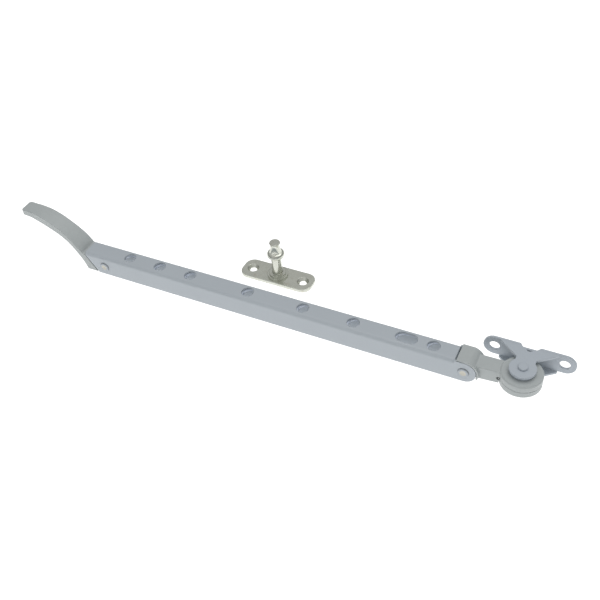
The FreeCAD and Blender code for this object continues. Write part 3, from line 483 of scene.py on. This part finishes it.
class PaintBracket(StayOperator, bpy.types.Operator):
    """Coats the folded bracket, its pin and the thrust washers with a coarser grain"""

    bl_idname = "stay.paint_bracket"
    bl_label = "Bracket"

    def execute(self, context):
        self.need("sash_bracket", "swivel_pin", "thrust_washer_upper", "thrust_washer_lower")
        sizes = context.scene.stay_finish
        coat = powder_coat(
            "bracket coat", sizes.bracket_paint, 0.9 * MM, 0.55 * MM, sizes,
            roughness=0.50, speckle=0.09)
        dress(coat, "sash_bracket", "swivel_pin")
        washer = powder_coat(
            "washer coat", [c * 0.86 for c in sizes.bracket_paint], 0.9 * MM, 0.4 * MM, sizes)
        dress(washer, "thrust_washer_upper", "thrust_washer_lower")
        return {"FINISHED"}


class PlateRivets(StayOperator, bpy.types.Operator):
    """Finishes the two arm rivets and adds a bead round each head, coloured dark as painted
    shade of the gap round the head
    """

    bl_idname = "stay.plate_rivets"
    bl_label = "Rivets"

    def execute(self, context):
        self.need("hinge_rivet", "lever_rivet", "arm_channel")
        scene = context.scene
        trim, sizes = scene.stay_trim, scene.stay_finish
        front, rear = (corner.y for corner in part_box("arm_channel"))
        # painted shade: the bead's coat is the arm paint at 0.55, standing in for the shade in
        # the gap round the head
        coat = powder_coat(
            "rim coat", [c * 0.55 for c in sizes.paint], 0.5 * MM, 0.2 * MM, sizes)
        for node in ("hinge_rivet", "lever_rivet"):
            low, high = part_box(node)
            centre = (low + high) / 2
            plating = rivet_plate(
                node + " plating", scene.stay_plating.rivet, sizes.paint, centre)
            dress(plating, node)
            radius = (high.x - low.x) / 2 + trim.rim_thickness / 2
            beads = bmesh.new()
            for y in (front, rear):
                add_ring(beads, (centre.x, y, centre.z), (0, 1, 0), radius,
                         trim.rim_thickness, trim.steps)
            settle(node + "_bead", beads, coat, "arm")
        return {"FINISHED"}


class RollLips(StayOperator, bpy.types.Operator):
    """Adds the rolled lips that punching leaves round the web's holes and the screw holes"""

    bl_idname = "stay.roll_lips"
    bl_label = "Punched lips"

    HOLES = (22.7, 79.3, 116.8, 160.1, 207.5, 233.8, 259.9)
    HOLE_RADIUS = 4.5
    SLOT, SLOT_LENGTH = 41.4, 15.5
    EAR_SHEET = 1.6
    PROUD = 0.3

    def execute(self, context):
        self.need("arm_channel", "hinge_rivet", "sash_bracket")
        trim = context.scene.stay_trim
        thick = trim.lip_thickness
        low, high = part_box("arm_channel")
        rivet_low, rivet_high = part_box("hinge_rivet")
        pivot = (rivet_low.x + rivet_high.x) / 2
        middle = (low.y + high.y) / 2
        radius = self.HOLE_RADIUS * MM + thick / 2
        lips = bmesh.new()
        level = high.z - thick * self.PROUD
        for reach in self.HOLES:
            add_ring(lips, (pivot - reach * MM, middle, level), (0, 0, 1), radius, thick,
                     trim.steps)
        straight = (self.SLOT_LENGTH - 2 * self.HOLE_RADIUS) * MM
        add_ring(lips, (pivot - self.SLOT * MM, middle, level), (0, 0, 1), radius, thick,
                 trim.steps, straight)
        settle("web_lips", lips, frame["nodes"]["arm_channel"].data.materials[0],
               "arm")
        screws = [m for m in frame["record"]["mounts"] if m["name"] == "bracket_screws"][0]
        half = screws["dims"]["spacing_x_mm"] * MM / 2
        hole = screws["dims"]["hole_r_mm"] * MM + thick / 2
        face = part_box("sash_bracket")[1].y - self.EAR_SHEET * MM + thick * self.PROUD
        ear_lips = bmesh.new()
        for side in (1, -1):
            add_ring(ear_lips, (half * side, face, 0), (0, 1, 0), hole, thick, trim.steps)
        settle("ear_lips", ear_lips, frame["nodes"]["sash_bracket"].data.materials[0],
               "bracket")
        return {"FINISHED"}


class FinishBar(StayOperator, bpy.types.Operator):
    """Zinc plates the locking bar and its clips"""

    bl_idname = "stay.finish_bar"
    bl_label = "Locking bar"

    def execute(self, context):
        clips = sorted(name for name in frame["nodes"] if name.startswith("bar_clip_"))
        self.need("locking_bar")
        dress(zinc_plate("bar zinc", context.scene.stay_plating.zinc), "locking_bar", *clips)
        return {"FINISHED"}


class FinishBrake(StayOperator, bpy.types.Operator):
    """Finishes the pieces inside the barrel and the washers beside the tongues"""

    bl_idname = "stay.finish_brake"
    bl_label = "Brake and washers"

    def execute(self, context):
        self.need("brake_disc", "brake_spring", "cover_screw")
        dress(zinc_plate("disc zinc", (0.42, 0.43, 0.44)), "brake_disc")
        dress(dark_steel("spring steel", (0.20, 0.20, 0.21), 0.28), "brake_spring")
        dress(dark_steel("black screw", (0.025, 0.025, 0.028), 0.40), "cover_screw")
        dress(brake_lining("lining"), "brake_lining_upper", "brake_lining_lower")
        dress(washer_plastic("nylon"), "lever_washers", "hinge_washers")
        return {"FINISHED"}


class FinishPeg(StayOperator, bpy.types.Operator):
    """Nickel plates the peg plate, collar and stud, and adds the crimp at the stud's foot"""

    bl_idname = "stay.finish_peg"
    bl_label = "Peg plate"

    CRIMP_RADIUS, CRIMP_THICKNESS = 4.0, 0.5

    def execute(self, context):
        self.need("peg_plate", "peg_collar", "peg_stud")
        nickel = context.scene.stay_plating.nickel
        trim = context.scene.stay_trim
        flat = polished_nickel("plate nickel", nickel, (0.04, 1, 1), 0.45 * MM)
        turned = polished_nickel("turned nickel", nickel, (0.02, 0.02, 1), 0.30 * MM)
        dress(flat, "peg_plate")
        dress(turned, "peg_collar", "peg_stud")
        low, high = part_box("peg_stud")
        collar_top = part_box("peg_collar")[1].z
        centre = (low + high) / 2
        crimp = bmesh.new()
        add_ring(crimp, (centre.x, centre.y, collar_top), (0, 0, 1),
                 self.CRIMP_RADIUS * MM, self.CRIMP_THICKNESS * MM, trim.steps)
        settle("stud_crimp", crimp, turned, "peg")
        return {"FINISHED"}


class SetStage(StayOperator, bpy.types.Operator):
    """Lights the scene and places the camera"""

    bl_idname = "stay.set_stage"
    bl_label = "Stage"

    PLACE = (45.3, -381.3, 400.0)
    AZIMUTH, ELEVATION, ROLL = 28.85, 43.36, -4.77
    HORIZON = (0.16, 0.17, 0.18)
    TABLE_EDGE, HORIZON_EDGE, OVERHEAD = 0.498, 0.502, 0.875

    def execute(self, context):
        studio = context.scene.stay_studio
        low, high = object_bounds()
        self.lights(studio, (low + high) / 2)
        self.camera(context.scene, studio)
        return {"FINISHED"}

    def lights(self, studio, middle):
        softboxes = (
            ("front softbox", (-0.35, -1.5, 0.75), 1.3, studio.key),
            ("overhead softbox", (0.1, 0.3, 1.7), 1.6, studio.fill))
        for name, place, size, power in softboxes:
            light = bpy.data.lights.new(name, "AREA")
            light.shape = "SQUARE"
            light.size = size
            light.energy = power
            holder = bpy.data.objects.new(name, light)
            holder.location = place
            aim = middle - Vector(place)
            holder.rotation_euler = aim.to_track_quat("-Z", "Y").to_euler()
            bpy.context.scene.collection.objects.link(holder)
        world = bpy.data.worlds.new("studio")
        world.use_nodes = True
        bpy.context.scene.world = world
        self.sky(world.node_tree, studio)

    def sky(self, tree, studio):
        """Surroundings: an endless lit table below, dim at the horizon, bright overhead."""
        where = tree.nodes.new("ShaderNodeTexCoord")
        split = tree.nodes.new("ShaderNodeSeparateXYZ")
        height = tree.nodes.new("ShaderNodeMapRange")
        height.inputs["From Min"].default_value = -1
        ramp = tree.nodes.new("ShaderNodeValToRGB").color_ramp
        overhead = studio.sky / studio.table
        horizon = [share * overhead for share in self.HORIZON]
        ramp.elements[0].color = (1, 1, 1, 1)
        ramp.elements[0].position = self.TABLE_EDGE
        ramp.elements[1].color = (overhead, overhead, overhead, 1)
        ramp.elements[1].position = self.OVERHEAD
        ramp.elements.new(self.HORIZON_EDGE).color = (*horizon, 1)
        links = tree.links
        links.new(where.outputs["Generated"], split.inputs[0])
        links.new(split.outputs["Z"], height.inputs["Value"])
        links.new(height.outputs["Result"], tree.nodes["Color Ramp"].inputs[0])
        background = tree.nodes["Background"]
        links.new(tree.nodes["Color Ramp"].outputs["Color"], background.inputs["Color"])
        background.inputs["Strength"].default_value = studio.table

    def camera(self, scene, studio):
        azimuth, elevation = math.radians(self.AZIMUTH), math.radians(self.ELEVATION)
        ahead = Vector((-math.sin(azimuth) * math.cos(elevation),
                        math.cos(azimuth) * math.cos(elevation), -math.sin(elevation)))
        level = Vector((math.cos(azimuth), math.sin(azimuth), 0))
        roll = Matrix.Rotation(math.radians(self.ROLL), 3, -ahead)
        right = roll @ level
        up = right.cross(ahead)
        data = bpy.data.cameras.new("camera")
        data.lens = studio.lens
        data.sensor_width = 36.0
        data.clip_start, data.clip_end = 0.01, 20.0
        camera = bpy.data.objects.new("camera", data)
        turn = Matrix((right, up, -ahead)).transposed().to_4x4()
        camera.matrix_world = Matrix.Translation(Vector(self.PLACE) * MM) @ turn
        scene.collection.objects.link(camera)
        scene.camera = camera
        scene.view_settings.view_transform = "Standard"


class StayPanel(bpy.types.Panel):
    """The stay's pieces, in the 3D view's sidebar"""

    bl_idname = "VIEW3D_PT_stay"
    bl_label = "Casement stay"
    bl_space_type = "VIEW_3D"
    bl_region_type = "UI"
    bl_category = "Stay"

    def draw(self, context):
        for group in ("stay_finish", "stay_plating", "stay_trim", "stay_studio"):
            settings = getattr(context.scene, group)
            for name in settings.__annotations__:
                self.layout.prop(settings, name)
        for operator in OPERATORS:
            self.layout.operator(operator.bl_idname)


GROUPS = {
    "stay_finish": StayFinish,
    "stay_plating": StayPlating,
    "stay_trim": StayTrim,
    "stay_studio": StayStudio,
}
OPERATORS = (
    PaintArm, PaintCastings, PaintBracket, PlateRivets, RollLips, FinishBar, FinishBrake,
    FinishPeg, SetStage)


def register():
    for group in GROUPS.values():
        bpy.utils.register_class(group)
    for operator in OPERATORS:
        bpy.utils.register_class(operator)
    bpy.utils.register_class(StayPanel)
    for name, group in GROUPS.items():
        setattr(bpy.types.Scene, name, PointerProperty(type=group))


def unregister():
    for name in GROUPS:
        delattr(bpy.types.Scene, name)
    for thing in (StayPanel, *OPERATORS, *GROUPS.values()):
        bpy.utils.unregister_class(thing)


def main():
    register()
    for operator in OPERATORS:
        group, name = operator.bl_idname.split(".")
        getattr(getattr(bpy.ops, group), name)()


if __name__ == "__main__":
    main()
